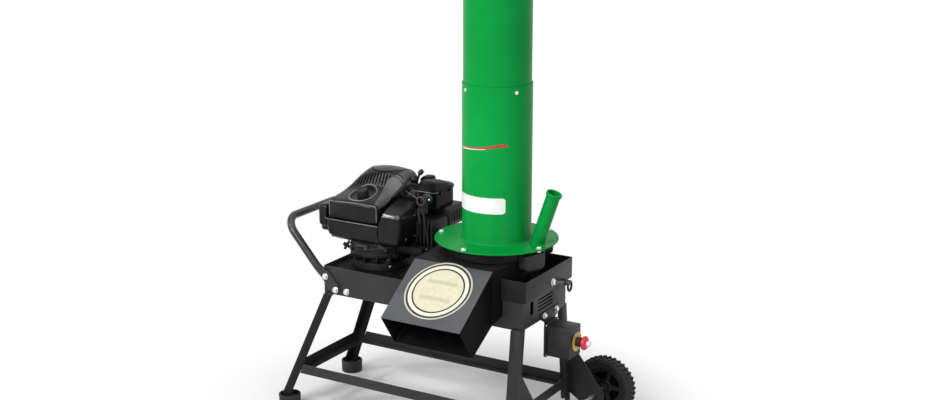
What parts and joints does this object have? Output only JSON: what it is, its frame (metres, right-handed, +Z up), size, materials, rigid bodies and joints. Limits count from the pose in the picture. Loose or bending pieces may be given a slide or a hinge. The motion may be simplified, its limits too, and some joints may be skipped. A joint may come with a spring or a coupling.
{
  "type": "forage chopper",
  "caption": "Petrol forage chopper: tall feed tube with flared hopper over a bladed drum, sloped discharge chute, belt-driven by an upright-shaft engine on a wheeled angle-iron frame.",
  "frame": {"origin": "middle of the footprint on the ground, under the feet and the wheels", "axes": "+X from the engine towards the wheels, +Y away from the discharge chute's mouth, +Z up"},
  "size_m": [1.0465, 0.6572, 1.4684],
  "materials": {
    "green_paint": "gloss",
    "black_paint": "satin",
    "black_plastic": "satin",
    "engine_casting": "painted black",
    "cast_iron": "cast",
    "bright_steel": "brushed",
    "rubber": "matt",
    "tyre": "matt",
    "belt": "matt",
    "yellow_plastic": "gloss",
    "red_plastic": "gloss"
  },
  "bodies": {
    "frame": {"air_filter": "black_plastic", "bearing_lower": "bright_steel", "bearing_upper": "bright_steel", "belt_cover": "black_paint", "carburettor": "engine_casting", "chamber_base": "black_paint", "chamber_pan": "black_paint", "chamber_wall": "black_paint", "chute_throat": "black_paint", "contact_block": "black_plastic", "counter_knife": "bright_steel", "crankcase": "engine_casting", "cylinder_head": "engine_casting", "discharge_chute": "black_paint", "engine_cowl": "black_plastic", "feed_hopper": "green_paint", "feed_sleeve": "green_paint", "foot_front": "rubber", "foot_rear": "rubber", "leg_front_left": "black_paint", "leg_front_right": "black_paint", "leg_rear_left": "black_paint", "leg_rear_right": "black_paint", "main_beam": "black_paint", "muffler": "black_paint", "plug_boot": "rubber", "push_handle": "black_paint", "rail_front": "black_paint", "rail_left": "black_paint", "rail_rear": "black_paint", "rail_right": "black_paint", "side_cowl": "black_plastic", "side_pipe": "green_paint", "stop_box": "black_plastic", "stop_bracket": "black_paint", "stop_collar": "black_plastic", "stop_lid": "black_plastic", "stop_ring": "yellow_plastic", "tank_cover": "black_plastic", "v_belt": "belt", "wheel_axle": "bright_steel", "wheel_bracket_front": "black_paint", "wheel_bracket_rear": "black_paint"},
    "rotor": {"rotor_shaft": "bright_steel", "rotor_disc": "bright_steel", "knife_1": "bright_steel", "knife_2": "bright_steel", "driven_pulley": "cast_iron"},
    "crank": {"crankshaft": "bright_steel", "flywheel": "cast_iron", "drive_pulley": "cast_iron"},
    "wheel_front": {"tyre_front": "tyre", "rim_front": "black_plastic"},
    "wheel_rear": {"tyre_rear": "tyre", "rim_rear": "black_plastic"},
    "stop_push": {"stop_button": "red_plastic"},
    "cap": {"fuel_cap": "black_plastic"},
    "throttle": {"throttle_lever": "black_plastic"},
    "starter": {"starter_grip": "black_plastic"},
    "oil_cap": {"dipstick": "black_plastic"}
  },
  "joints": [
    {"name": "rotor_spin", "type": "hinge", "parent": "frame", "child": "rotor", "pos_m": [0.1743, 0.0356, 0.56], "axis": [0, 0, 1], "continuous": true},
    {"name": "crank_spin", "type": "hinge", "parent": "frame", "child": "crank", "pos_m": [-0.2427, 0.0356, 0.56], "axis": [0, 0, 1], "continuous": true},
    {"name": "wheel_front_spin", "type": "hinge", "parent": "frame", "child": "wheel_front", "pos_m": [0.4233, -0.2264, 0.1], "axis": [0, 1, 0], "continuous": true},
    {"name": "wheel_rear_spin", "type": "hinge", "parent": "frame", "child": "wheel_rear", "pos_m": [0.4233, 0.2976, 0.1], "axis": [0, 1, 0], "continuous": true},
    {"name": "stop_button_push", "type": "slide", "parent": "frame", "child": "stop_push", "axis": [-1, 0, 0], "range_m": [0, 0.005]},
    {"name": "fuel_cap_turn", "type": "hinge", "parent": "frame", "child": "cap", "pos_m": [-0.2737, -0.0144, 0.698], "axis": [0, -0.2756, 0.9613], "range_deg": [0, 90]},
    {"name": "throttle_swing", "type": "hinge", "parent": "frame", "child": "throttle", "pos_m": [-0.1477, 0.0956, 0.734], "axis": [1, 0, 0], "range_deg": [-25, 20]},
    {"name": "starter_pull", "type": "slide", "parent": "frame", "child": "starter", "axis": [-1, 0, 0], "range_m": [0, 0.06], "stiffness_N_per_m": 120},
    {"name": "oil_cap_turn", "type": "hinge", "parent": "frame", "child": "oil_cap", "pos_m": [-0.32606, -0.03008, 0.53222], "axis": [-0.6608, -0.5206, 0.5406], "range_deg": [0, 90]}
  ],
  "couplings": [
    {"joint": "crank_spin", "follows": "rotor_spin", "ratio": 1.2}
  ]
}
